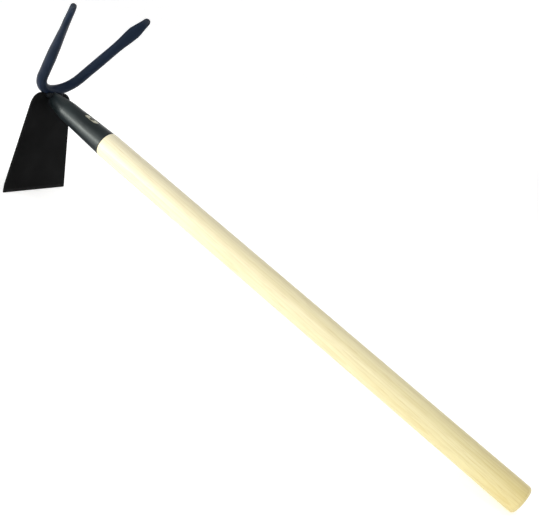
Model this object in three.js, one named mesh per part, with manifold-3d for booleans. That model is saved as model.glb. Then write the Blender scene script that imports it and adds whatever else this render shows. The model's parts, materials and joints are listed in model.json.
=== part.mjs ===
// Combination hoe: a flat hoe blade below and a two-tine fork above one tapered steel socket, on a
// short wooden handle. Millimetres, +Z up. The hoe lies as it rests on a floor: on the cutting edge
// of the blade and on the rim of the handle's butt, with the fork pointing up.
//
// Every piece is made in the handle's frame: the origin is the centre of the socket's mouth, +X runs
// along the handle towards the butt, and +Z points to the fork's side. The whole hoe is then tipped
// until its blade and butt are level.

import * as THREE from 'three';
import { mergeVertices } from 'three/addons/utils/BufferGeometryUtils.js';
import Module from 'manifold-3d';

const wasm = await Module();
wasm.setup();

// ---- driving dimensions ------------------------------------------------------------------------

const GAP = 0.3; // clearance between pieces that touch
const SAME_POINT = 1e-4; // vertices nearer than this are one vertex

const HANDLE_LENGTH = 588; // with the tenon, which fills the straight taper of the socket
const HANDLE_DIAMETER = 28;
const HANDLE_PROUD = 0.4; // how far the handle stands out past the rim of the socket's mouth
const SHOULDER_ROUNDING = 1.2; // where the handle meets the socket's mouth
const BUTT_ROUNDING = 3.5;

const MOUTH_DIAMETER = HANDLE_DIAMETER - 2 * HANDLE_PROUD;
const SOCKET_WALL = 1.2;
const TAPER_LENGTH = 61; // straight taper, from the mouth to the nose
const TAPER_LOSS = 5.2; // diameter lost along the straight taper
const TAPER_END_DIAMETER = MOUTH_DIAMETER - TAPER_LOSS;
const NOSE_LENGTH = 25.5; // pinched nose, from the straight taper to the middle of the blade
const NOSE_OVERRUN = 8.5; // length past the blade's middle, before the blade cuts it off
const NOSE_FOOT_WIDTH = 10; // on the handle's axis, at the blade
const NOSE_FOOT_HEIGHT = 14.5;
const BORE_BEYOND_TENON = 2;

const SLOT_LENGTH = 19; // oblong hole on the fork's side, which shows the tenon
const SLOT_WIDTH = 9;
const SLOT_FROM_MOUTH = 29;

const NAIL_HEAD_DIAMETER = 6;
const NAIL_HEAD_HEIGHT = 1.2;
const NAIL_CROWN_DIAMETER = 3; // flat top of the head, inside its sloping edge
const NAIL_RIM_HEIGHT = 0.85;
const NAIL_SHANK_DIAMETER = 3;
const NAIL_LENGTH = 16;

const BLADE_LENGTH = 110.5;
const BLADE_TOP_WIDTH = 54;
const BLADE_EDGE_WIDTH = 94;
const BLADE_THICKNESS = 2.5;
const BLADE_LEAN = 16.5; // degrees that the cutting edge is turned in towards the handle
const BLADE_SHOULDER = 14; // length taken from each side by a rounded top corner
const BLADE_FROM_MOUTH = TAPER_LENGTH + NOSE_LENGTH; // middle of the plate, on the handle's axis
const BLADE_ABOVE_AXIS = 5.9;
const BEVEL_LENGTH = 8; // ground on the outer face
const EDGE_THICKNESS = 0.8;

const BAR_DIAMETER = 10.8;
const FORK_BEND_RADIUS = 30;
const FORK_SPLAY = 18.2; // degrees between a straight tine and the middle plane
const TINE_LENGTH = 99; // straight part of a tine
const FORK_LEAN = 15.2; // degrees that the fork is turned in towards the handle
const FORK_FROM_MOUTH = BLADE_FROM_MOUTH + 4.7; // middle of the bar, at the root of the fork
const FORK_ABOVE_AXIS = BLADE_ABOVE_AXIS + 0.8;

const POINT_LENGTH = 50; // where a tine starts to widen, measured back from its tip
const THINNING_LENGTH = 76; // where it starts to be drawn thinner, measured the same way
const POINT_WIDEST_AT = 21; // measured back from the tip
const POINT_WIDTH = 13.8;
const POINT_THICKNESS = 7.2;
const TIP_WIDTH = 6.2;
const TIP_THICKNESS = 5.2;
const TIP_ROUNDING = 3;
const TIP_END_SHARE = 0.45; // share of its width and thickness that a tip keeps at its very end
const POINT_TURN = 40; // degrees that the flats are turned inward from facing the handle

const NOSE_WELD_REACH = 3.2; // how far the fillet round the nose spreads over the blade
const FORK_WELD_WIDTH = 26;
const FORK_WELD_REACH = 4; // half of the height and depth of the lump under the fork's bar
const FORK_WELD_OFF_FACE = 1.8; // middle of the lump, from the blade's face
const FORK_WELD_BELOW_TOP = 2.4; // middle of the lump, from the blade's top edge

// ---- shared helpers ----------------------------------------------------------------------------

const X = new THREE.Vector3(1, 0, 0);
const Y = new THREE.Vector3(0, 1, 0);
const Z = new THREE.Vector3(0, 0, 1);
const radians = THREE.MathUtils.degToRad;
const lerp = THREE.MathUtils.lerp;

function toSolid(geometry) {
  const bare = geometry.clone();
  bare.deleteAttribute('normal');
  bare.deleteAttribute('uv');
  const merged = mergeVertices(bare, SAME_POINT);
  return new wasm.Manifold(new wasm.Mesh({
    numProp: 3,
    vertProperties: new Float32Array(merged.attributes.position.array),
    triVerts: new Uint32Array(merged.index.array),
  }));
}

function toGeometry(solid) {
  const mesh = solid.getMesh();
  const geometry = new THREE.BufferGeometry();
  geometry.setAttribute('position', new THREE.BufferAttribute(mesh.vertProperties, 3));
  geometry.setIndex(new THREE.BufferAttribute(mesh.triVerts, 1));
  geometry.computeVertexNormals();
  return geometry;
}

// A solid of revolution about the handle's axis, from points [place along +X, radius].
function turned(points, segments = 64) {
  const profile = points.map(([along, radius]) => new THREE.Vector2(radius, along));
  return new THREE.LatheGeometry(profile, segments).rotateZ(-Math.PI / 2);
}

// An outline pushed out to a depth, laid with its two axes along the given directions.
function pushed(outline, depth, across, up) {
  const options = { depth, bevelEnabled: false, curveSegments: 8 };
  const basis = new THREE.Matrix4().makeBasis(across, up, across.clone().cross(up));
  return new THREE.ExtrudeGeometry(outline, options).applyMatrix4(basis);
}

// ---- handle ------------------------------------------------------------------------------------

// Outer radius of the socket's straight taper at a distance from its mouth.
function socketRadius(distance) {
  return lerp(MOUTH_DIAMETER, TAPER_END_DIAMETER, distance / TAPER_LENGTH) / 2;
}

function tenonRadius(distance) {
  return socketRadius(distance) - SOCKET_WALL - GAP;
}

// A quarter circle from the side of a rod round to its end face. Outward is +1 or -1 along X.
function rim(end, rounding, outward, steps) {
  return Array.from({ length: steps + 1 }, (_, i) => {
    const angle = (i / steps) * (Math.PI / 2);
    const along = end - outward * rounding * (1 - Math.sin(angle));
    return [along, HANDLE_DIAMETER / 2 - rounding * (1 - Math.cos(angle))];
  });
}

const buttPlace = HANDLE_LENGTH - TAPER_LENGTH;

function handleSolid() {
  const rod = turned([
    [-TAPER_LENGTH, 0],
    [-TAPER_LENGTH, tenonRadius(TAPER_LENGTH)],
    [GAP, tenonRadius(0)],
    ...rim(GAP, SHOULDER_ROUNDING, -1, 3).reverse(),
    ...rim(buttPlace, BUTT_ROUNDING, 1, 6),
    [buttPlace, 0],
  ]);
  return toSolid(rod).subtract(nailSolid(GAP));
}

// ---- nail through the slot ---------------------------------------------------------------------

function nailSolid(grow = 0) {
  const seat = tenonRadius(SLOT_FROM_MOUTH) + GAP;
  const profile = [
    [0, seat - NAIL_LENGTH - grow],
    [NAIL_SHANK_DIAMETER / 2 + grow, seat - NAIL_LENGTH - grow],
    [NAIL_SHANK_DIAMETER / 2 + grow, seat - grow],
    [NAIL_HEAD_DIAMETER / 2 + grow, seat - grow],
    [NAIL_HEAD_DIAMETER / 2 + grow, seat + NAIL_RIM_HEIGHT],
    [NAIL_CROWN_DIAMETER / 2 + grow, seat + NAIL_HEAD_HEIGHT + grow],
    [0, seat + NAIL_HEAD_HEIGHT + grow],
  ].map(([radius, height]) => new THREE.Vector2(radius, height));
  const nail = new THREE.LatheGeometry(profile, 24).rotateX(Math.PI / 2);
  return toSolid(nail.translate(-SLOT_FROM_MOUTH, 0, 0));
}

// ---- socket ------------------------------------------------------------------------------------

// Half width and half height of the nose, a share of the way from the straight taper to the blade.
function noseSection(share) {
  return [
    lerp(TAPER_END_DIAMETER, NOSE_FOOT_WIDTH, share) / 2,
    lerp(TAPER_END_DIAMETER, NOSE_FOOT_HEIGHT, share) / 2,
  ];
}

// Squeezes the nose sideways, so that it ends as an upright oval on the blade.
function pinchNose(geometry, grow) {
  const position = geometry.attributes.position;
  for (let i = 0; i < position.count; i += 1) {
    const share = (-position.getX(i) - TAPER_LENGTH) / NOSE_LENGTH;
    if (share > 0) {
      const [halfWidth, halfHeight] = noseSection(share);
      position.setY(i, position.getY(i) * ((halfWidth + grow) / (halfHeight + grow)));
    }
  }
  return geometry;
}

function socketOuter(grow) {
  const steps = 10;
  const end = NOSE_LENGTH + NOSE_OVERRUN;
  const nose = Array.from({ length: steps + 1 }, (_, i) => {
    const along = end * (1 - i / steps);
    return [-TAPER_LENGTH - along, noseSection(along / NOSE_LENGTH)[1] + grow];
  });
  return toSolid(pinchNose(turned([
    [-TAPER_LENGTH - end, 0],
    ...nose,
    [0, MOUTH_DIAMETER / 2 + grow],
    [0, 0],
  ]), grow));
}

function socketBore() {
  const blind = TAPER_LENGTH + BORE_BEYOND_TENON;
  const past = 1;
  return toSolid(turned([
    [-blind, 0],
    [-blind, socketRadius(blind) - SOCKET_WALL],
    [past, socketRadius(-past) - SOCKET_WALL],
    [past, 0],
  ]));
}

function slotSolid() {
  const half = SLOT_WIDTH / 2;
  const straight = SLOT_LENGTH / 2 - half;
  const outline = new THREE.Shape();
  outline.absarc(straight, 0, half, -Math.PI / 2, Math.PI / 2);
  outline.absarc(-straight, 0, half, Math.PI / 2, (3 * Math.PI) / 2);
  return toSolid(pushed(outline, MOUTH_DIAMETER, X, Y).translate(-SLOT_FROM_MOUTH, 0, half));
}

function socketSolid() {
  const behindBlade = toSolid(behindBladeGeometry());
  return socketOuter(0).subtract(socketBore()).subtract(slotSolid())
    .subtract(behindBlade).subtract(forkSolid(GAP));
}

// ---- blade -------------------------------------------------------------------------------------

// The blade's own frame: X is its thickness, towards the handle, and Z runs up its middle line.
const bladePlace = new THREE.Matrix4()
  .makeRotationY(-radians(BLADE_LEAN))
  .setPosition(-BLADE_FROM_MOUTH, 0, 0);

// Everything from the blade's inner face outward, which the socket's nose stops short of.
function behindBladeGeometry() {
  const reach = BLADE_EDGE_WIDTH;
  const block = new THREE.BoxGeometry(reach, reach, reach);
  return block.translate(BLADE_THICKNESS / 2 + GAP - reach / 2, 0, 0).applyMatrix4(bladePlace);
}

function bladeOutline(grow) {
  const top = BLADE_ABOVE_AXIS + grow;
  const edge = BLADE_ABOVE_AXIS - BLADE_LENGTH - grow;
  const halfTop = BLADE_TOP_WIDTH / 2 + grow;
  const halfEdge = BLADE_EDGE_WIDTH / 2 + grow;
  const side = new THREE.Vector2(halfEdge - halfTop, -BLADE_LENGTH).setLength(BLADE_SHOULDER);
  const outline = new THREE.Shape();
  outline.moveTo(-halfEdge, edge);
  outline.lineTo(halfEdge, edge);
  outline.lineTo(halfTop + side.x, top + side.y);
  outline.quadraticCurveTo(halfTop, top, halfTop - BLADE_SHOULDER, top);
  outline.lineTo(-halfTop + BLADE_SHOULDER, top);
  outline.quadraticCurveTo(-halfTop, top, -halfTop - side.x, top + side.y);
  return outline;
}

// Wedge that grinds the outer face of the blade down to its cutting edge.
function bevelCutter() {
  const edge = BLADE_ABOVE_AXIS - BLADE_LENGTH;
  const start = new THREE.Vector2(edge + BEVEL_LENGTH, -BLADE_THICKNESS / 2);
  const end = new THREE.Vector2(edge, BLADE_THICKNESS / 2 - EDGE_THICKNESS);
  const overrun = 0.5;
  const above = start.clone().lerp(end, -overrun);
  const below = start.clone().lerp(end, 1 + overrun);
  const section = new THREE.Shape([
    above,
    below,
    new THREE.Vector2(below.x, -BLADE_THICKNESS),
    new THREE.Vector2(above.x, -BLADE_THICKNESS),
  ]);
  const width = BLADE_EDGE_WIDTH + BLADE_THICKNESS;
  return pushed(section, width, Z, X).translate(0, -width / 2, 0);
}

function plateSolid(grow) {
  const thickness = BLADE_THICKNESS + 2 * grow;
  const plate = pushed(bladeOutline(grow), thickness, Y, Z).translate(-thickness / 2, 0, 0);
  return toSolid(plate.applyMatrix4(bladePlace));
}

// The plate is ground to an edge, and its top is let in to seat the fork's bar.
function bladeSolid() {
  const cutter = toSolid(bevelCutter().applyMatrix4(bladePlace));
  return plateSolid(0).subtract(cutter).subtract(forkSolid(GAP));
}

// ---- fork --------------------------------------------------------------------------------------

const forkPlace = new THREE.Matrix4()
  .makeRotationY(radians(FORK_LEAN))
  .setPosition(-FORK_FROM_MOUTH, 0, FORK_ABOVE_AXIS);

const bendAngle = radians(90 - FORK_SPLAY);
const bendLength = FORK_BEND_RADIUS * bendAngle;

// Centre line of the bent bar in the fork's own plane: Y is across, Z is up the middle.
class ForkLine extends THREE.Curve {
  getPoint(t, target = new THREE.Vector3()) {
    const along = (2 * t - 1) * (bendLength + TINE_LENGTH);
    const angle = Math.min(Math.abs(along) / FORK_BEND_RADIUS, bendAngle);
    const straight = Math.max(Math.abs(along) - bendLength, 0);
    const across = FORK_BEND_RADIUS * Math.sin(angle) + straight * Math.cos(bendAngle);
    const up = FORK_BEND_RADIUS * (1 - Math.cos(angle)) + straight * Math.sin(bendAngle);
    return target.set(0, Math.sign(along) * across, up);
  }
}

// Width and thickness of a tine at a distance back from its tip.
function pointSection(back) {
  if (back > POINT_WIDEST_AT) {
    const wide = THREE.MathUtils.smoothstep(back, POINT_WIDEST_AT, POINT_LENGTH);
    const thick = THREE.MathUtils.smoothstep(back, POINT_WIDEST_AT, THINNING_LENGTH);
    return [lerp(POINT_WIDTH, BAR_DIAMETER, wide), lerp(POINT_THICKNESS, BAR_DIAMETER, thick)];
  }
  const share = back / POINT_WIDEST_AT;
  const tip = Math.max(1 - back / TIP_ROUNDING, 0);
  const blunt = Math.sqrt(1 - (1 - TIP_END_SHARE ** 2) * tip ** 2);
  return [
    lerp(TIP_WIDTH, POINT_WIDTH, share) * blunt,
    lerp(TIP_THICKNESS, POINT_THICKNESS, Math.sqrt(share)) * blunt,
  ];
}

// Flattens one end of the round bar into a spade point. Side is -1 or +1 along Y.
function forgePoint(geometry, side) {
  const position = geometry.attributes.position;
  const along = new THREE.Vector3(0, side * Math.cos(bendAngle), Math.sin(bendAngle));
  const flatward = X.clone().applyAxisAngle(along, -radians(POINT_TURN) * side);
  const edgeward = along.clone().cross(flatward);
  const tip = new ForkLine().getPoint((1 + side) / 2);
  const offset = new THREE.Vector3();
  for (let i = 0; i < position.count; i += 1) {
    offset.fromBufferAttribute(position, i).sub(tip);
    const back = Math.max(-offset.dot(along), 0);
    const onThisTine = side * position.getY(i) > 0;
    if (!onThisTine || back > THINNING_LENGTH) {
      continue;
    }
    const [width, thickness] = pointSection(back);
    const sideways = offset.dot(edgeward) * (width / BAR_DIAMETER);
    const depthways = offset.dot(flatward) * (thickness / BAR_DIAMETER);
    offset.copy(tip).addScaledVector(along, -back);
    offset.addScaledVector(edgeward, sideways).addScaledVector(flatward, depthways);
    position.setXYZ(i, offset.x, offset.y, offset.z);
  }
}

function forkSolid(grow = 0) {
  const section = new THREE.Shape().absarc(0, 0, BAR_DIAMETER / 2 + grow, 0, 2 * Math.PI);
  const options = { steps: 80, curveSegments: 9, extrudePath: new ForkLine() };
  const bar = new THREE.ExtrudeGeometry(section, options);
  forgePoint(bar, -1);
  forgePoint(bar, 1);
  return toSolid(bar.applyMatrix4(forkPlace));
}

// ---- welds -------------------------------------------------------------------------------------

// A bead laid in a corner of the head: what it shares with the blade and the fork is cut away.
function beadSolid(geometry) {
  return toSolid(geometry.applyMatrix4(bladePlace))
    .subtract(plateSolid(GAP))
    .subtract(forkSolid(GAP));
}

// A rounded lump centred just under the fork's bar, on the inner (+1) or outer (-1) face.
function forkWeldLump(inward, grow = 0) {
  const lump = new THREE.SphereGeometry(1, 24, 16);
  lump.scale(FORK_WELD_REACH + grow, FORK_WELD_WIDTH / 2 + grow, FORK_WELD_REACH + grow);
  const out = BLADE_THICKNESS / 2 + FORK_WELD_OFF_FACE;
  return lump.translate(inward * out, 0, BLADE_ABOVE_AXIS - FORK_WELD_BELOW_TOP);
}

// Fillet round the sides and bottom of the socket's nose, on the inner face of the blade.
function noseWeldSolid() {
  const [halfWidth, halfHeight] = noseSection(1);
  const ring = new THREE.TorusGeometry(halfHeight, NOSE_WELD_REACH, 12, 40).rotateY(Math.PI / 2);
  ring.scale(1, halfWidth / halfHeight, 1).translate(BLADE_THICKNESS / 2, 0, 0);
  const reach = 4 * halfHeight;
  const keep = new THREE.BoxGeometry(reach, reach, reach);
  keep.translate(BLADE_THICKNESS / 2 + GAP + reach / 2, 0, -reach / 2);
  return beadSolid(ring)
    .subtract(socketOuter(GAP))
    .intersect(toSolid(keep.applyMatrix4(bladePlace)))
    .subtract(toSolid(forkWeldLump(1, GAP).applyMatrix4(bladePlace)));
}

function innerForkWeldSolid() {
  return beadSolid(forkWeldLump(1)).subtract(socketOuter(GAP));
}

// ---- assembly ----------------------------------------------------------------------------------

const black = { color: 0x17191a, roughness: 0.45, metalness: 0 };
const wood = { color: 0xeedfae, roughness: 0.6, metalness: 0 };
const steel = { color: 0x9a9b96, roughness: 0.4, metalness: 1 };

const pieces = [
  ['handle', handleSolid(), wood],
  ['socket', socketSolid(), black],
  ['blade', bladeSolid(), black],
  ['fork', forkSolid(), black],
  ['nail', nailSolid(), steel],
  ['nose_weld', noseWeldSolid(), black],
  ['fork_weld_inner', innerForkWeldSolid(), black],
  ['fork_weld_outer', beadSolid(forkWeldLump(-1)), black],
];

const hoe = new THREE.Group();
for (const [name, solid, finish] of pieces) {
  const mesh = new THREE.Mesh(toGeometry(solid), new THREE.MeshStandardMaterial(finish));
  mesh.name = name;
  hoe.add(mesh);
}

// Tips the hoe down at the butt until the blade's edge and the butt's rim touch one level floor.
function restAngle() {
  const edge = new THREE.Vector3(
    BLADE_THICKNESS / 2 - EDGE_THICKNESS, 0, BLADE_ABOVE_AXIS - BLADE_LENGTH,
  ).applyMatrix4(bladePlace);
  const rimCentre = new THREE.Vector3(
    buttPlace - BUTT_ROUNDING, 0, BUTT_ROUNDING - HANDLE_DIAMETER / 2,
  );
  const run = rimCentre.sub(edge);
  return Math.acos(BUTT_ROUNDING / run.length()) - Math.atan2(run.x, run.z);
}

hoe.rotation.y = restAngle();
const resting = new THREE.Group();
resting.add(hoe);
const box = new THREE.Box3().setFromObject(resting, true);
const middle = box.getCenter(new THREE.Vector3());
hoe.position.set(-middle.x, -middle.y, -box.min.z);

export default resting;
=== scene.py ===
# A combination hoe at rest on a studio floor: a short wooden handle in a tapered steel socket, with
# a flat hoe blade below the socket and a forged two-tine fork above it, all welded into one head.
# Metres, +Z up. The hoe lies on the blade's cutting edge and the rim of the butt.

import json
import math

import bmesh
import bpy
from mathutils import Matrix, Vector, noise


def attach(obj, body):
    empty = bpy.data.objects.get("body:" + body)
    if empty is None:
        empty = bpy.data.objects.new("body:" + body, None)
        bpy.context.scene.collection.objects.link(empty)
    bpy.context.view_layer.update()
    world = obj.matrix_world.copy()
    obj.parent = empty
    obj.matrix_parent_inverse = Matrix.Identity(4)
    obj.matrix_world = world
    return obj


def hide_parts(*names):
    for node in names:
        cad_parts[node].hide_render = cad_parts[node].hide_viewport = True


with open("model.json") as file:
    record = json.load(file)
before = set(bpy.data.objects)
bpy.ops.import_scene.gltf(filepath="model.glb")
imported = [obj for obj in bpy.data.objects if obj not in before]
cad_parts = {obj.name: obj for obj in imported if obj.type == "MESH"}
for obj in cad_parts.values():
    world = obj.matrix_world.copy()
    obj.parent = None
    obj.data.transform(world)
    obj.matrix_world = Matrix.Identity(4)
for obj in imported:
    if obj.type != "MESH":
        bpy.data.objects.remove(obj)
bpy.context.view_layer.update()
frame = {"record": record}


# ---- Handle ------------------------------------------------------------------------------------
# One straight-grained rod of pale hardwood, turned and sanded smooth, with a thin clear coat. Its
# end is cut down to a long tapered tenon for the socket, and the rim of the butt is rounded over.

mm = 0.001
bare_length = 527 * mm
handle_radius = 14 * mm
tenon_length = 61 * mm
tenon_end_radius = 9.5 * mm
tenon_mouth_radius = 12.1 * mm
shoulder_rounding = 1.2 * mm
shoulder_gap = 0.3 * mm
butt_rounding = 3.5 * mm
slot_centre = -29 * mm
slot_half_length = 9.5 * mm
slot_half_width = 4.5 * mm
slot_swelling = 0.85 * mm
swelling_run = 1.6 * mm
wall_over_tenon = 1.5 * mm
sanding_wave = 0.06 * mm
bare_wood_start = 2 * mm

# Every piece is shaped in the handle's own frame: x runs from the socket's mouth to the butt, and
# z points to the fork's side. hoe_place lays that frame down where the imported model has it.
butt = next(m for m in frame["record"]["mounts"] if m["name"] == "butt_end")
along = Vector(butt["axis"]).normalized()
across = Vector((0, 1, 0))
mouth = Vector(butt["pos_m"]) - along * bare_length
turn = Matrix((along, across, along.cross(across))).transposed().to_4x4()
hoe_place = Matrix.Translation(mouth) @ turn


def place(name, mesh_maker, material, node, sharp=40):
    """Makes one piece from a filled bmesh, smooth but for its sharp edges, for one CAD node."""
    mesh = bpy.data.meshes.new(name)
    bmesh.ops.remove_doubles(mesh_maker, verts=mesh_maker.verts, dist=1e-7)
    bmesh.ops.recalc_face_normals(mesh_maker, faces=mesh_maker.faces)
    mesh_maker.to_mesh(mesh)
    mesh_maker.free()
    mesh.shade_smooth()
    mesh.set_sharp_from_angle(angle=math.radians(sharp))
    mesh.materials.append(material)
    piece = bpy.data.objects.new(name, mesh)
    bpy.context.scene.collection.objects.link(piece)
    piece.matrix_world = hoe_place
    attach(piece, "root")
    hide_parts(node)
    return piece


def skin(maker, rings):
    """Joins rings of points, each as long as the next, with faces."""
    made = [[maker.verts.new(p) for p in ring] for ring in rings]
    count = len(rings[0])
    for a, b in zip(made, made[1:]):
        for i in range(count):
            j = (i + 1) % count
            maker.faces.new((a[i], a[j], b[j], b[i]))
    return made


def turned(profile, sides, push=None):
    """A solid turned about x from (x, radius) pairs that start and end on the axis."""
    maker = bmesh.new()
    rings = []
    for x, radius in profile[1:-1]:
        ring = []
        for i in range(sides):
            angle = 2 * math.pi * i / sides
            r = radius + (push(x, angle) if push else 0)
            ring.append(Vector((x, r * math.cos(angle), r * math.sin(angle))))
        rings.append(ring)
    made = skin(maker, rings)
    for ring, (x, _) in ((made[0], profile[0]), (made[-1], profile[-1])):
        centre = maker.verts.new((x, 0, 0))
        for i in range(sides):
            maker.faces.new((ring[i], ring[(i + 1) % sides], centre))
    return maker


def quarter(x, radius, rounding, outward, steps):
    """A rounded rim from a rod's side to its end face at x. Outward is +1 or -1."""
    points = []
    for i in range(steps + 1):
        angle = math.pi / 2 * i / steps
        back = rounding * (1 - math.sin(angle))
        points.append((x - outward * back, radius - rounding * (1 - math.cos(angle))))
    return points


class Finish:
    """A procedural surface: its nodes are added one by one and joined as they are made."""

    def __init__(self, name):
        self.material = bpy.data.materials.new(name)
        self.material.use_nodes = True
        self.tree = self.material.node_tree
        self.shader = self.tree.nodes["Principled BSDF"]
        self.place = self.add("TexCoord").outputs["Object"]

    def add(self, kind, inputs=None, **settings):
        made = self.tree.nodes.new("ShaderNode" + kind)
        for key, value in settings.items():
            setattr(made, key, value)
        for key, value in (inputs or {}).items():
            if isinstance(value, bpy.types.NodeSocket):
                self.tree.links.new(value, made.inputs[key])
            else:
                made.inputs[key].default_value = value
        return made

    def stretched(self, scale, tilt=(0, 0, 0), shift=(0, 0, 0)):
        inputs = {"Vector": self.place, "Location": shift, "Rotation": tilt, "Scale": scale}
        return self.add("Mapping", inputs).outputs[0]

    def noise(self, vector, scale, detail=2, roughness=0.5):
        inputs = {"Vector": vector, "Scale": scale, "Detail": detail, "Roughness": roughness}
        return self.add("TexNoise", inputs).outputs[0]

    def ramp(self, value, *stops):
        made = self.add("ValToRGB", {"Fac": value})
        made.color_ramp.elements[0].position = stops[0][0]
        made.color_ramp.elements[1].position = stops[-1][0]
        for position, _ in stops[1:-1]:
            made.color_ramp.elements.new(position)
        for element, (_, colour) in zip(made.color_ramp.elements, stops):
            grey = (colour,) * 3 if isinstance(colour, (int, float)) else colour
            element.color = (*grey, 1)
        return made.outputs[0]

    def remap(self, value, low, high, to_low, to_high):
        inputs = {"Value": value, 1: low, 2: high, 3: to_low, 4: to_high}
        return self.add("MapRange", inputs).outputs[0]

    def maths(self, operation, a, b):
        return self.add("Math", {0: a, 1: b}, operation=operation).outputs[0]

    def blend(self, share, a, b, how="MIX"):
        made = self.add("Mix", {0: share, 6: a, 7: b}, data_type="RGBA", blend_type=how)
        return made.outputs[2]

    def bump(self, height, depth, strength, under=None):
        inputs = {"Height": height, "Distance": depth, "Strength": strength}
        if under:
            inputs["Normal"] = under
        return self.add("Bump", inputs).outputs[0]

    def set(self, **inputs):
        for key, value in inputs.items():
            socket = self.shader.inputs[key.replace("_", " ")]
            if isinstance(value, bpy.types.NodeSocket):
                self.tree.links.new(value, socket)
            else:
                socket.default_value = value


def wood_finish():
    wood = Finish("handle_wood")
    pale = (0.79, 0.75, 0.57)
    golden = (0.70, 0.62, 0.38)
    pore_brown = (0.50, 0.36, 0.17)
    butt_honey = (0.93, 0.87, 0.46)
    hand_amber = (0.84, 0.70, 0.34)
    slot_painted_shade = (0.33, 0.34, 0.26)
    ring_wander = 1.6 * mm
    handled_length = 60 * mm
    rings = wood.stretched((1, 1, 1), (0, 0.012, 0.03), (0, 0.026, 0.017))
    wander = wood.noise(wood.stretched((5, 60, 60)), 1, 2)
    drift = wood.remap(wander, 0, 1, -ring_wander, ring_wander)
    shift = wood.add("CombineXYZ", {"Y": drift, "Z": drift}).outputs[0]
    bent = wood.add("VectorMath", {0: rings, 1: shift}, operation="ADD").outputs[0]
    growth = wood.add(
        "TexWave",
        {"Vector": bent, "Scale": 118, "Distortion": 0.6, "Detail": 1},
        wave_type="RINGS", rings_direction="X", wave_profile="SAW",
    ).outputs["Fac"]
    fibres = wood.noise(wood.stretched((26, 1500, 1500)), 1, 3, 0.6)
    pores = wood.noise(wood.stretched((60, 2600, 2600), shift=(3, 1, 2)), 1, 1)
    pore_mark = wood.ramp(pores, (0.62, 0), (0.72, 1))
    cloud = wood.noise(wood.stretched((7, 40, 40)), 1, 3)
    late = wood.ramp(growth, (0.0, 0.0), (0.72, 0.12), (0.96, 1.0), (1.0, 0.2))
    base = wood.blend(wood.remap(late, 0, 1, 0, 0.55), (*pale, 1), (*golden, 1))
    streak = wood.ramp(
        fibres, (0.3, (0.90, 0.86, 0.78)), (0.55, (1, 1, 1)), (0.8, (1.03, 1.02, 1.0))
    )
    base = wood.blend(0.8, base, streak, "MULTIPLY")
    base = wood.blend(wood.remap(pore_mark, 0, 1, 0, 0.4), base, (*pore_brown, 1))
    tone = wood.ramp(cloud, (0.3, (1.03, 1.02, 1.02)), (0.7, (0.96, 0.93, 0.86)))
    base = wood.blend(0.9, base, tone, "MULTIPLY")
    x = wood.add("SeparateXYZ", {0: wood.place}).outputs["X"]
    to_butt = wood.remap(x, 0.0, bare_length, 0, 0.65)
    base = wood.blend(to_butt, base, (*butt_honey, 1), "MULTIPLY")
    # The tenon inside the socket, which shows only through the slot, is blended most of the way to
    # a dull grey: this is painted shade for the recess under the socket's wall.
    slot_shade_share = wood.remap(x, -0.5 * mm, -1.5 * mm, 0, 0.75)
    base = wood.blend(slot_shade_share, base, (*slot_painted_shade, 1))
    handled = wood.remap(x, bare_length - handled_length, bare_length, 0, 0.4)
    base = wood.blend(handled, base, (*hand_amber, 1), "MULTIPLY")
    fibre_height = wood.remap(fibres, 0, 1, 0, 0.5)
    pore_depth = wood.maths("MULTIPLY", pore_mark, 0.6)
    height = wood.maths("SUBTRACT", fibre_height, pore_depth)
    wood.set(
        Base_Color=base,
        Roughness=wood.remap(fibres, 0.2, 0.8, 0.52, 0.40),
        Normal=wood.bump(height, 0.12 * mm, 0.5),
    )
    wood.set(Specular_IOR_Level=0.5, Coat_Weight=0.6, Coat_Roughness=0.34)
    return wood.material


def tenon_radius(x):
    return tenon_mouth_radius + (tenon_end_radius - tenon_mouth_radius) * (-x / tenon_length)


def handle_wave(x, angle):
    """How far the rod is from true: sanding waves, and wood that swells up into the slot."""
    if x > bare_wood_start:
        place_round = Vector((9 * x, 0.5 * math.cos(angle), 0.5 * math.sin(angle)))
        return sanding_wave * noise.noise(place_round)
    arc = (tenon_radius(x) + wall_over_tenon) * (angle - math.pi / 2)
    straight = slot_half_length - slot_half_width
    beyond = max(abs(x - slot_centre) - straight, 0)
    inside = slot_half_width - math.hypot(beyond, arc)
    share = min(max(inside / swelling_run, 0), 1)
    return slot_swelling * math.sin(share * math.pi / 2)


handle_profile = [
    (-tenon_length, 0),
    (-tenon_length, tenon_end_radius),
    *[(x / 2 * mm, tenon_radius(x / 2 * mm)) for x in range(-80, -36)],
    (shoulder_gap - 0.02 * mm, tenon_mouth_radius),
    *reversed(quarter(shoulder_gap, handle_radius, shoulder_rounding, -1, 5)),
    *[(x * mm, handle_radius) for x in range(5, 520, 5)],
    *quarter(bare_length, handle_radius, butt_rounding, 1, 10),
    (bare_length, handle_radius - butt_rounding - 2 * mm),
    (bare_length, 0),
]
handle_sides = 128
handle_solid = turned(handle_profile, handle_sides, handle_wave)
place("turned_handle", handle_solid, wood_finish(), "handle")


# ---- Socket ------------------------------------------------------------------------------------
# One piece of steel tube, drawn to a straight taper and closed at its nose, which is pinched to an
# upright oval where it meets the blade. An oblong slot is punched through its wall on the fork's
# side, and the whole head is sprayed with one coat of satin black.

mouth_radius = 13.6 * mm
taper_end_radius = 11.0 * mm
socket_wall = 1.2 * mm
bore_beyond_tenon = 2 * mm
nose_length = 25.5 * mm
nose_overrun = 8.5 * mm
nose_foot_half_width = 5.0 * mm
nose_foot_half_height = 7.25 * mm
nose_fullness = 1.12
blade_centre = -86.5 * mm
blade_lean = math.radians(16.5)
blade_thickness = 2.5 * mm


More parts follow.
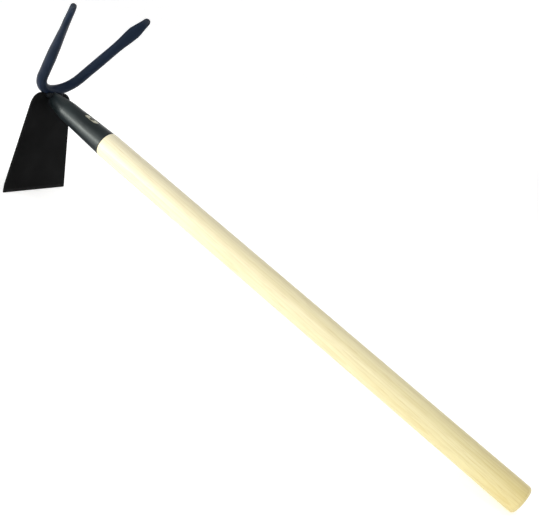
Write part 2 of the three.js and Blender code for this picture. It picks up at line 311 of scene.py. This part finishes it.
def black_coat(name, tint, sheen, roughness, cast=(1, 1, 1)):
    """One spray coat over steel: a pebbled skin, soft scale under it, and rubbed high spots."""
    coat = Finish(name)
    pebble = coat.noise(coat.place, 1400, 2)
    grit = coat.noise(coat.place, 4200, 1)
    scale = coat.noise(coat.place, 130, 4, 0.55)
    smear = coat.noise(coat.place, 45, 3)
    rub = coat.add("Attribute", attribute_name="rub").outputs["Fac"]
    broken = coat.noise(coat.place, 900, 4, 0.65)
    bare = coat.maths("MULTIPLY", rub, coat.ramp(broken, (0.42, 0), (0.62, 1)))
    deep = tuple(0.72 * c for c in tint)
    dusty = tuple(1.25 * c + 0.001 for c in tint)
    colour = coat.ramp(smear, (0.3, deep), (0.55, tint), (0.8, dusty))
    bare_steel = (0.11, 0.11, 0.108, 1)
    colour = coat.blend(bare, colour, bare_steel)
    low = coat.bump(scale, 0.22 * mm, 0.5)
    fine = coat.bump(pebble, 0.05 * mm, 0.5, low)
    rough = coat.remap(coat.maths("ADD", smear, grit), 0.6, 1.4, roughness - 0.06, roughness + 0.08)
    coat.set(Base_Color=colour, Roughness=rough, Normal=fine)
    coat.set(Specular_IOR_Level=sheen, Specular_Tint=(*cast, 1))
    return coat.material


def socket_radius(x):
    return mouth_radius + (taper_end_radius - mouth_radius) * (-x / tenon_length)


def nose_section(x):
    """Half width and half height of the nose."""
    share = ((-x - tenon_length) / nose_length) ** nose_fullness
    half_width = taper_end_radius + (nose_foot_half_width - taper_end_radius) * share
    half_height = taper_end_radius + (nose_foot_half_height - taper_end_radius) * share
    return half_width, half_height


def socket_point(x, angle, depth):
    """A point of the socket's wall, at a depth below its outer surface."""
    half_width = half_height = socket_radius(x)
    if x < -tenon_length:
        half_width, half_height = nose_section(x)
    reach = ((half_width - depth) * math.cos(angle), (half_height - depth) * math.sin(angle))
    return Vector((x, *reach))


def slot_rim(share, grow):
    """A point on the slot's outline, a share of the way round: x and arc length from its middle."""
    straight = slot_half_length - slot_half_width
    radius = slot_half_width + grow
    arc = math.pi * radius
    way = (share % 1) * (2 * arc + 4 * straight)
    if way < straight:
        return way, -radius
    way -= straight
    if way < arc:
        angle = way / radius - math.pi / 2
        return straight + radius * math.cos(angle), radius * math.sin(angle)
    way -= arc
    if way < 2 * straight:
        return straight - way, radius
    way -= 2 * straight
    if way < arc:
        angle = way / radius + math.pi / 2
        return -straight + radius * math.cos(angle), radius * math.sin(angle)
    return way - arc - straight, -radius


def socket_shape():
    """The tube's outer wall, its bore, its mouth and the slot through it, as one closed skin."""
    maker = bmesh.new()
    sides = 96
    patch_columns = 24
    patch_half_length = 14 * mm
    patch_rows = 14
    top = math.pi / 2
    patch_low = slot_centre - patch_half_length
    patch_high = slot_centre + patch_half_length
    step = 2 * patch_half_length / patch_rows
    lip_start = -0.4 * mm
    tube_end = -tenon_length - nose_length - nose_overrun

    # Each wall is a grid of rings, but for a square patch round the slot.
    nose = [tube_end + (-tenon_length - tube_end) * i / 24 for i in range(25)]
    below = [-tenon_length + (patch_low + tenon_length) * i / 9 for i in range(1, 10)]
    patch = [patch_low + step * i for i in range(1, patch_rows)]
    above = [patch_high + (lip_start - patch_high) * i / 8 for i in range(9)]

    def angle_at(i):
        return top + (2 * i - patch_columns) * math.pi / sides

    def ring_at(x, depth):
        return [maker.verts.new(socket_point(x, angle_at(i), depth)) for i in range(sides)]

    def join(a, b, skipped=0):
        """Faces between two rings, but for the first few."""
        for i in range(skipped, len(a)):
            j = (i + 1) % len(a)
            maker.faces.new((a[i], a[j], b[j], b[i]))

    def slot_ring(grow, depth, start=None, share=1.0):
        """A ring round the slot, or a share of the way to it from the patch's edge."""
        ring = []
        count = 2 * (patch_rows + patch_columns)
        for k in range(count):
            x, arc = slot_rim(k / count, grow)
            angle = arc / socket_radius(slot_centre + x)
            if start:
                x = start[k][0] + (x - start[k][0]) * share
                angle = start[k][1] + (angle - start[k][1]) * share
            ring.append(maker.verts.new(socket_point(slot_centre + x, top + angle, depth)))
        return ring

    def wall(stations, depth, grow):
        """One wall at a depth. Gives its rings, and the ring that it ends in at the slot."""
        grid = [ring_at(x, depth) for x in stations]
        low = stations.index(below[-1])
        high = low + patch_rows
        for row, (a, b) in enumerate(zip(grid, grid[1:])):
            join(a, b, patch_columns if low <= row < high else 0)
        middle = low + patch_rows // 2
        edge = [(row, 0) for row in range(middle, high)]
        edge += [(high, i) for i in range(patch_columns)]
        edge += [(row, patch_columns) for row in range(high, low, -1)]
        edge += [(low, i) for i in range(patch_columns, 0, -1)]
        edge += [(row, 0) for row in range(low, middle)]
        start = [(stations[row] - slot_centre, angle_at(i) - top) for row, i in edge]
        ring = [grid[row][i] for row, i in edge]
        lays = 6
        for lay in range(1, lays + 1):
            inner = slot_ring(grow, depth, start, 1 - (1 - lay / lays) ** 1.6)
            join(ring, inner)
            ring = inner
        return grid, ring

    outer, outer_rim = wall(nose + below + patch + above, 0, 0.35 * mm)
    blind = [-tenon_length - bore_beyond_tenon, -tenon_length]
    bore, bore_rim = wall(blind + below + patch + above, socket_wall, 0)
    maker.faces.new(bore[0])

    # Through the wall at the slot, and over the rounded lip of the mouth.
    punched = [(0.1, 0.1), (0.0, 0.35), (0.0, 1.0)]
    through = [outer_rim, *[slot_ring(g * mm, d * mm) for g, d in punched], bore_rim]
    lip = [
        (-0.12 * mm, 0.03 * mm), (0, 0.3 * mm),
        (0, socket_wall - 0.2 * mm), (-0.2 * mm, socket_wall),
    ]
    over = [outer[-1], *[ring_at(x, depth) for x, depth in lip], bore[-1]]
    for rings in (through, over):
        for a, b in zip(rings, rings[1:]):
            join(a, b)

    # The nose is cut off where it butts on the blade, and the cut is closed.
    face = Vector((math.cos(blade_lean), 0, math.sin(blade_lean)))
    geometry = maker.verts[:] + maker.edges[:] + maker.faces[:]
    bmesh.ops.bisect_plane(
        maker, geom=geometry, plane_co=(blade_centre, 0, 0), plane_no=face, clear_inner=True,
    )
    bmesh.ops.remove_doubles(maker, verts=maker.verts, dist=1e-7)
    bmesh.ops.holes_fill(maker, edges=[e for e in maker.edges if e.is_boundary])
    return maker


coat_on_socket = black_coat(
    "satin_black_socket", (0.004, 0.0078, 0.0098), 0.66, 0.40, (0.92, 1, 0.97)
)
place("drawn_socket", socket_shape(), coat_on_socket, "socket", 50)


# ---- Nail --------------------------------------------------------------------------------------
# A plain wire nail, driven through the slot into the tenon so that the handle can't draw out. Its
# head sits in the slot, down on the wood.

nail_seat = socket_radius(slot_centre) - socket_wall
nail_sides = 48
nail_profile = [
    (-16.0, 0), (-16.0, 0.3), (-13.5, 1.5), (-0.2, 1.5), (-0.05, 2.0), (0.0, 2.85),
    (0.15, 3.0), (0.7, 3.0), (0.9, 2.8), (1.1, 2.0), (1.2, 1.2), (1.2, 0),
]


def nail_shape():
    maker = turned([(x * mm, r * mm) for x, r in nail_profile], nail_sides)
    seat = Matrix.Translation((slot_centre, 0, nail_seat))
    upright = seat @ Matrix.Rotation(-math.pi / 2, 4, "Y")
    bmesh.ops.transform(maker, matrix=upright, verts=maker.verts)
    return maker


def nail_finish():
    steel = Finish("nail_wire_steel")
    stain = steel.noise(steel.place, 700, 4, 0.6)
    colour = steel.ramp(stain, (0.35, (0.10, 0.098, 0.085)), (0.65, (0.24, 0.235, 0.21)))
    ticks = steel.noise(steel.stretched((900, 5200, 900)), 1, 2)
    steel.set(
        Base_Color=colour,
        Roughness=steel.remap(stain, 0.3, 0.7, 0.55, 0.38),
        Normal=steel.bump(ticks, 0.06 * mm, 0.6),
    )
    steel.set(Metallic=1.0)
    return steel.material


place("wire_nail", nail_shape(), nail_finish(), "nail")


# ---- Blade -------------------------------------------------------------------------------------
# A flat trapezoid pressed from 2.5 mm spring-steel sheet, its top corners rounded and its rim
# tumbled smooth. The outer face is ground down to the cutting edge, and the coat on it is dull.

blade_length = 110.5 * mm
blade_top_width = 54 * mm
blade_edge_width = 94 * mm
blade_above_axis = 5.9 * mm
blade_shoulder = 14 * mm
bevel_length = 8 * mm
edge_thickness = 0.8 * mm
blade_rim = 0.45 * mm
rubbed_run = 2.2 * mm
blade_place = Matrix.Translation((blade_centre, 0, 0)) @ Matrix.Rotation(-blade_lean, 4, "Y")


def blade_outline(steps):
    """Points (y, z) round the plate, starting at the cutting edge's -y corner."""
    top, low = blade_above_axis, blade_above_axis - blade_length
    half_top, half_edge = blade_top_width / 2, blade_edge_width / 2
    side = Vector((half_edge - half_top, -blade_length)).normalized() * blade_shoulder
    corner = 1.2 * mm
    up = -side.normalized()

    def curve(a, b, c, count):
        made = []
        for i in range(count + 1):
            t = i / count
            made.append(a * (1 - t) ** 2 + b * 2 * t * (1 - t) + c * t**2)
        return made

    def line(a, b, count):
        return [a.lerp(b, i / count) for i in range(1, count)]

    heel = Vector((half_edge, low))
    low_corner = curve(heel - Vector((corner, 0)), heel, heel + up * corner, 6)
    crown = Vector((half_top, top))
    shoulder = curve(crown + side, crown, crown - Vector((blade_shoulder, 0)), 12)
    right = low_corner + line(low_corner[-1], shoulder[0], steps) + shoulder
    left = [Vector((-p.x, p.y)) for p in reversed(right)]
    top_line = line(right[-1], left[0], steps // 2)
    edge_line = line(left[-1], right[0], steps)
    return right + top_line + left + edge_line


def blade_shape():
    maker = bmesh.new()
    outline = blade_outline(24)
    count = len(outline)
    half = blade_thickness / 2
    low = blade_above_axis - blade_length

    def outer_face(z):
        ground = max(1 - (z - low) / bevel_length, 0)
        return -half + ground * (blade_thickness - edge_thickness)

    def inset(distance):
        made = []
        for i, p in enumerate(outline):
            before, after = outline[i - 1], outline[(i + 1) % count]
            run = (after - before).normalized()
            made.append(p + Vector((-run.y, run.x)) * distance)
        return made

    rings = []
    steps = 5
    for side in (1, -1):
        layer = []
        for k in range(steps + 1):
            angle = math.pi / 2 * k / steps
            ring = []
            for p in inset(blade_rim * (1 - math.sin(angle))):
                face = half if side > 0 else outer_face(p.y)
                rim = min(blade_rim, edge_thickness / 2 * 0.95)
                ring.append(Vector((face - side * rim * (1 - math.cos(angle)), p.x, p.y)))
            layer.append(ring)
        rings += layer if side > 0 else list(reversed(layer))
    made = skin(maker, rings)
    maker.faces.new(made[0])
    maker.faces.new(made[-1])
    first_cut = low + bevel_length
    cuts = [first_cut] + [first_cut + 2 * mm + 12 * mm * i for i in range(8)]
    for z in cuts:
        geometry = maker.verts[:] + maker.edges[:] + maker.faces[:]
        bmesh.ops.bisect_plane(maker, geom=geometry, plane_co=(0, 0, z), plane_no=(0, 0, 1))
    rub = maker.verts.layers.float.new("rub")
    for v in maker.verts:
        from_edge = (v.co.z - low) / rubbed_run
        worn = 0.75 if v.co.x < half - 0.1 * mm else 0.45
        v[rub] = max(0.0, worn - from_edge)
    bmesh.ops.transform(maker, matrix=blade_place, verts=maker.verts)
    return maker


coat_on_blade = black_coat("dull_black_blade", (0.0058, 0.0060, 0.0062), 0.02, 0.55)
place("hoe_blade", blade_shape(), coat_on_blade, "blade", 30)


# ---- Fork --------------------------------------------------------------------------------------
# One round bar of carbon steel, bent in its middle into two tines. The end of each tine is forged
# hot into a flat spade point, so the bar is a little uneven there, and the coat has a blue cast.

bar_radius = 5.4 * mm
bend_radius = 30 * mm
bend_angle = math.radians(90 - 18.2)
tine_length = 99 * mm
fork_lean = math.radians(15.2)
fork_root = Vector((-91.2 * mm, 0, 6.7 * mm))
point_length = 50 * mm
thinning_length = 76 * mm
point_widest_at = 21 * mm
point_width = 13.8 * mm
point_thickness = 7.2 * mm
tip_width = 6.2 * mm
tip_thickness = 5.2 * mm
tip_rounding = 3 * mm
rubbed_tip = 9 * mm
point_turn = math.radians(40)
fork_place = Matrix.Translation(fork_root) @ Matrix.Rotation(fork_lean, 4, "Y")


def smooth(t):
    t = min(max(t, 0), 1)
    return t * t * (3 - 2 * t)


def fork_line(way):
    """Centre line and direction of the bar, a way along it from the middle of the bend."""
    angle = min(abs(way) / bend_radius, bend_angle)
    straight = max(abs(way) - bend_radius * bend_angle, 0)
    side = 1 if way >= 0 else -1
    run = Vector((0, side * math.cos(angle), math.sin(angle)))
    bend = Vector((0, side * bend_radius * math.sin(angle), bend_radius * (1 - math.cos(angle))))
    return bend + run * straight, run


def point_section(back):
    """Width, thickness and squareness of a tine at a distance back from its tip."""
    if back > point_widest_at:
        wide_share = smooth((back - point_widest_at) / (point_length - point_widest_at))
        thick_share = smooth((back - point_widest_at) / (thinning_length - point_widest_at))
        width = point_width + (2 * bar_radius - point_width) * wide_share
        thick = point_thickness + (2 * bar_radius - point_thickness) * thick_share
        return width, thick, 1 - wide_share
    share = back / point_widest_at
    tip = max(1 - back / tip_rounding, 0)
    blunt = math.sqrt(1 - 0.8 * tip**2)
    width = tip_width + (point_width - tip_width) * share
    thick = tip_thickness + (point_thickness - tip_thickness) * math.sqrt(share)
    return width * blunt, thick * blunt, 1


def fork_shape():
    maker = bmesh.new()
    rub_layer = maker.verts.layers.float.new("rub")
    half = bend_radius * bend_angle + tine_length
    stations = []
    way = 0.0
    while way < half - thinning_length:
        stations.append(way)
        way += 1.6 * mm
    fine = [half - thinning_length * (1 - math.sin(math.pi / 2 * i / 75)) for i in range(76)]
    ways = [-w for w in reversed(fine)] + [-w for w in reversed(stations[1:])] + stations + fine
    sides = 48
    rings = []
    for way in ways:
        centre, run = fork_line(way)
        side = 1 if way >= 0 else -1
        back = half - abs(way)
        width, thick, square = point_section(back)
        turned_by = -point_turn * side * smooth(abs(way) / (half - thinning_length))
        flatward = Matrix.Rotation(turned_by, 3, run) @ Vector((1, 0, 0))
        edgeward = (run * side).cross(flatward)
        ring = []
        for i in range(sides):
            angle = 2 * math.pi * i / sides
            c, s = math.cos(angle), math.sin(angle)
            c = math.copysign(abs(c) ** (1 - 0.22 * square), c)
            s = math.copysign(abs(s) ** (1 - 0.12 * square), s)
            p = centre + edgeward * (c * width / 2) + flatward * (s * thick / 2)
            worked = 0.10 + 0.16 * square
            hammered = noise.noise(p * 95) * worked
            pitted = noise.noise(p * 260 + Vector((7, 1, 3))) * 0.4 * worked
            dent = hammered + pitted
            p += (p - centre).normalized() * dent * mm
            ring.append(p)
        rings.append(ring)
    made = skin(maker, rings)
    for ring, way in ((made[0], -half), (made[-1], half)):
        centre, run = fork_line(way)
        end = maker.verts.new(centre + run * 0.35 * mm)
        for i in range(sides):
            maker.faces.new((ring[i], ring[(i + 1) % sides], end))
    for v in maker.verts:
        back = min((v.co - fork_line(side * half)[0]).length for side in (-1, 1))
        v[rub_layer] = 0.55 * max(0.0, 1 - back / rubbed_tip)
    bmesh.ops.transform(maker, matrix=fork_place, verts=maker.verts)
    return maker


coat_on_fork = black_coat(
    "blue_black_fork", (0.0045, 0.0092, 0.0225), 0.15, 0.42, (0.66, 0.84, 1)
)
place("forged_fork", fork_shape(), coat_on_fork, "fork", 60)


# ---- Welds -------------------------------------------------------------------------------------
# Three beads of arc weld hold the head together: one round the socket's nose on the blade, and
# one on each face of the blade under the fork's bar. Each shows its ripples under the coat.

nose_bead_radius = 1.7 * mm
fork_bead_radius = 2.9 * mm
fork_bead_half_length = 12.2 * mm
fork_bead_off_face = 1.4 * mm
fork_bead_drop = 2.2 * mm
fork_bead_sag = 0.5 * mm
bead_lumps = 0.28


def bead(line, radius, ripple, seed):
    """A welded bead along a line of (point, direction) stations, tapered at its ends."""
    maker = bmesh.new()
    sides = 28
    rings = []
    count = len(line)
    for k, (centre, run) in enumerate(line):
        share = k / (count - 1)
        taper = math.sqrt(max(1 - abs(2 * share - 1) ** 6, 0.02))
        helper = Vector((1, 0, 0)) if abs(run.x) < 0.9 else Vector((0, 0, 1))
        u = run.cross(helper).normalized()
        v = run.cross(u).normalized()
        wave = 1 + 0.07 * math.sin(2 * math.pi * k / ripple)
        ring = []
        for i in range(sides):
            angle = 2 * math.pi * i / sides
            r = radius * taper * wave
            p = centre + u * (r * math.cos(angle)) + v * (r * math.sin(angle))
            lump = noise.noise(p * 420 + Vector((seed, 0, 0)))
            p += (p - centre).normalized() * lump * bead_lumps * mm
            ring.append(p)
        rings.append(ring)
    made = skin(maker, rings)
    for ring, (centre, _) in ((made[0], line[0]), (made[-1], line[-1])):
        end = maker.verts.new(centre)
        for i in range(sides):
            maker.faces.new((ring[i], ring[(i + 1) % sides], end))
    bmesh.ops.transform(maker, matrix=blade_place, verts=maker.verts)
    return maker


def nose_weld_shape():
    half_width, half_height = (half + 0.5 * mm for half in nose_section(blade_centre))
    line = []
    steps = 70
    for k in range(steps + 1):
        angle = math.pi * (1.0 + k / steps)
        y, z = half_width * math.cos(angle), half_height * math.sin(angle)
        centre = Vector((blade_thickness / 2 + 0.4 * mm, y, z))
        run = Vector((0, -half_width * math.sin(angle), half_height * math.cos(angle)))
        line.append((centre, run.normalized()))
    return bead(line, nose_bead_radius, 6, 3.0)


def fork_weld_shape(inward, seed):
    line = []
    steps = 60
    for k in range(steps + 1):
        y = fork_bead_half_length * (2 * k / steps - 1)
        sag = fork_bead_sag * math.cos(math.pi * y / (26 * mm))
        off_face = inward * (blade_thickness / 2 + fork_bead_off_face)
        centre = Vector((off_face, y, blade_above_axis - fork_bead_drop - sag))
        line.append((centre, Vector((0, 1, 0))))
    return bead(line, fork_bead_radius, 7, seed)


coat_on_welds = black_coat("satin_black_welds", (0.005, 0.0065, 0.0080), 0.12, 0.48)
place("bead_round_nose", nose_weld_shape(), coat_on_welds, "nose_weld", 70)
place("bead_inner", fork_weld_shape(1, 11.0), coat_on_welds, "fork_weld_inner", 70)
place("bead_outer", fork_weld_shape(-1, 17.0), coat_on_welds, "fork_weld_outer", 70)


# ---- Studio ------------------------------------------------------------------------------------
# A white floor that sweeps up into a low wall all round, a small low softbox on the head's side,
# a broad one in front, a broad one overhead, and a pale sky.

def cove():
    maker = bmesh.new()
    flat, rise, tall = 2.6, 1.1, 1.2
    profile = [(0.4, 0), (1.2, 0), (flat, 0)]
    for i in range(1, 13):
        angle = math.pi / 2 * i / 12
        profile.append((flat + rise * math.sin(angle), rise * (1 - math.cos(angle))))
    profile.append((flat + rise, rise + tall))
    sides = 96
    turns = [2 * math.pi * i / sides for i in range(sides)]
    rings = []
    for radius, z in profile:
        rings.append([Vector((radius * math.cos(a), radius * math.sin(a), z)) for a in turns])
    made = skin(maker, rings)
    maker.faces.new(made[0])
    mesh = bpy.data.meshes.new("floor")
    bmesh.ops.recalc_face_normals(maker, faces=maker.faces)
    maker.to_mesh(mesh)
    maker.free()
    mesh.shade_smooth()
    paint = bpy.data.materials.new("floor_white")
    paint.use_nodes = True
    shader = paint.node_tree.nodes["Principled BSDF"]
    shader.inputs["Base Color"].default_value = (0.9, 0.9, 0.9, 1)
    shader.inputs["Roughness"].default_value = 1.0
    shader.inputs["Specular IOR Level"].default_value = 0.0
    shader.inputs["Emission Color"].default_value = (1, 1, 1, 1)
    shader.inputs["Emission Strength"].default_value = 0.44
    mesh.materials.append(paint)
    floor = bpy.data.objects.new("floor", mesh)
    bpy.context.scene.collection.objects.link(floor)


cove()


def aimed(position, target, roll=0.0):
    """The place of a lamp or camera that looks from one point at another, and is turned by roll."""
    way = (Vector(target) - Vector(position)).normalized()
    upright = way.to_track_quat("-Z", "Y").to_matrix().to_4x4()
    return Matrix.Translation(position) @ upright @ Matrix.Rotation(roll, 4, "Z")


def softbox(name, position, target, width, height, power, colour):
    lamp = bpy.data.lights.new(name, "AREA")
    lamp.shape = "RECTANGLE"
    lamp.size, lamp.size_y = width, height
    lamp.energy = power
    lamp.color = colour
    made = bpy.data.objects.new(name, lamp)
    made.visible_camera = False
    bpy.context.scene.collection.objects.link(made)
    made.matrix_world = aimed(position, target)


warm_white = (1, 0.985, 0.94)
soft_white = (1, 0.99, 0.96)
softbox("key_softbox", (-0.45, -0.36, 0.055), (-0.27, 0, 0.10), 0.36, 0.09, 1.1, warm_white)
softbox("fill_softbox", (-0.1, -1.5, 0.9), (0, 0, 0.05), 1.2, 1.2, 9, soft_white)
softbox("overhead_softbox", (0.2, 0.3, 1.5), (0, 0, 0), 1.2, 1.2, 7, (1, 1, 1))

sky = bpy.data.worlds.new("sky")
sky.use_nodes = True
sky.node_tree.nodes["Background"].inputs["Color"].default_value = (1, 1, 1, 1)
sky.node_tree.nodes["Background"].inputs["Strength"].default_value = 0.25
bpy.context.scene.world = sky
bpy.context.scene.view_settings.view_transform = "Standard"


# ---- Camera ------------------------------------------------------------------------------------
# A normal lens close to the hoe, held well off level, so that the handle runs down to the right.
# Its place is given in the handle's own frame.

camera_place = (0.41518, -0.64150, 0.30693)
camera_target = (0.21200, 0.01814, 0.01352)
camera_roll = math.radians(33.332)
view_width = 540
focal_length = 762.665

camera = bpy.data.objects.new("camera", bpy.data.cameras.new("camera"))
bpy.context.scene.collection.objects.link(camera)
camera.data.sensor_width = 36
camera.data.lens = focal_length / view_width * camera.data.sensor_width
camera.data.clip_start, camera.data.clip_end = 0.01, 50
camera.matrix_world = hoe_place @ aimed(camera_place, camera_target, camera_roll)
bpy.context.scene.camera = camera
